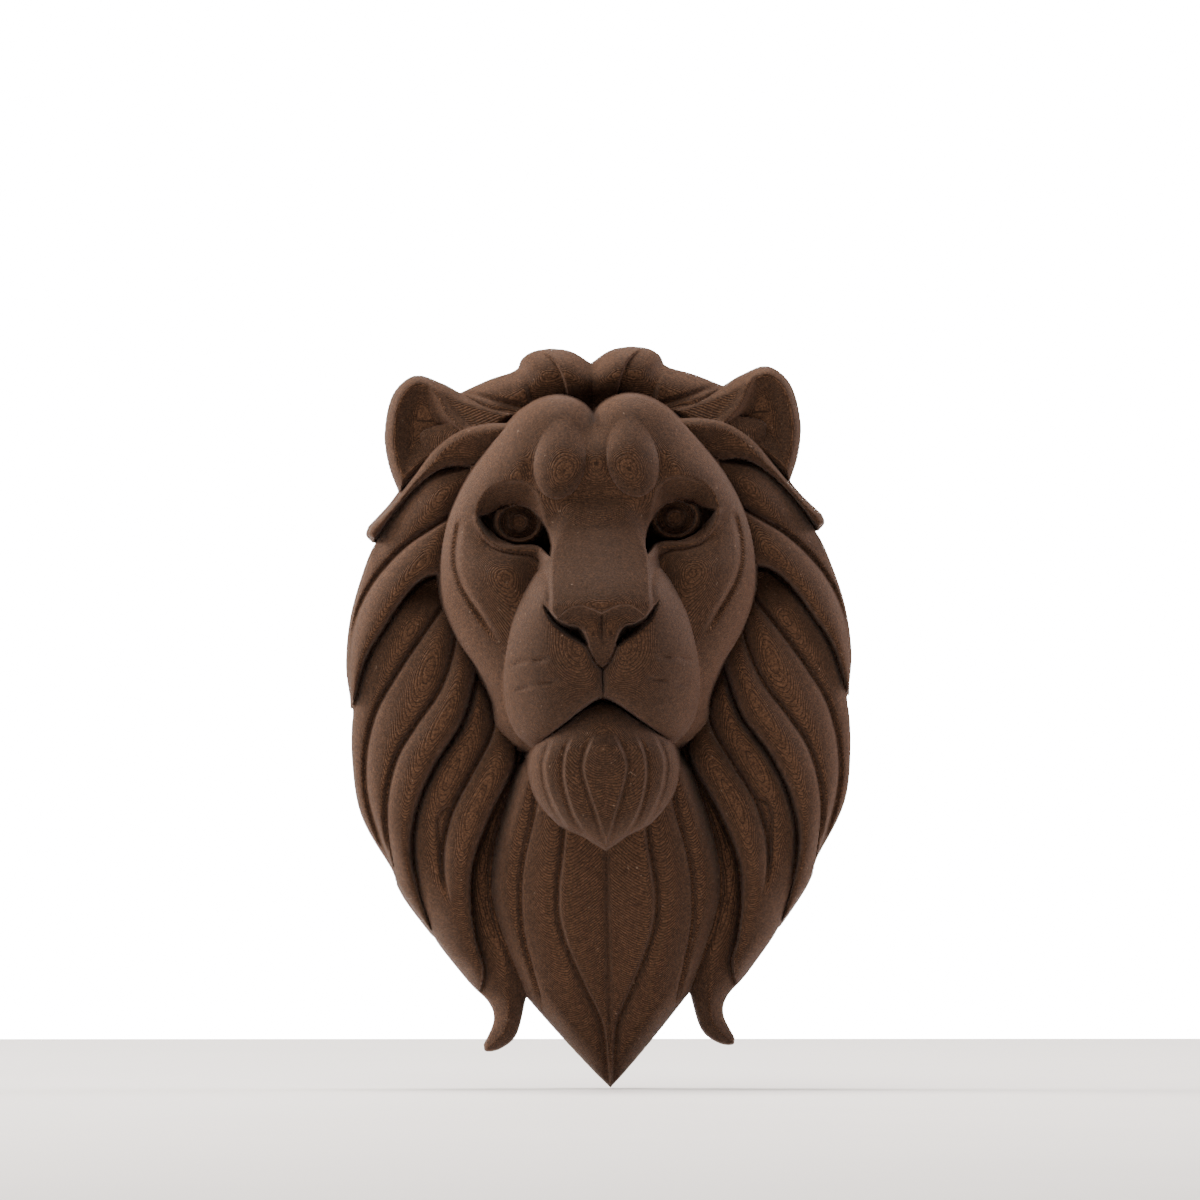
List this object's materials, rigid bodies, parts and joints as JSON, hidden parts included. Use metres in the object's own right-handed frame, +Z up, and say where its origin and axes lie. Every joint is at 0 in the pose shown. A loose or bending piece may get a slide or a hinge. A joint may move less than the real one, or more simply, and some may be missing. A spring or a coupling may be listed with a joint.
{
  "type": "lion head wall mask",
  "caption": "Relief of a lion's head with flowing mane and pointed beard on a flat back, made to hang on a wall.",
  "frame": {"origin": "on the flat back, on the middle line, at the mask's mid height", "axes": "+Y into the wall, so that the lion looks along -Y; +Z up; +X to the right of a viewer who faces the lion"},
  "size_m": [0.1386, 0.0626, 0.2021],
  "materials": {
    "brown_plastic": "matte dark brown printed plastic with fine layer lines"
  },
  "bodies": {
    "root": {"lion_head_mask": "brown_plastic"}
  },
  "joints": []
}
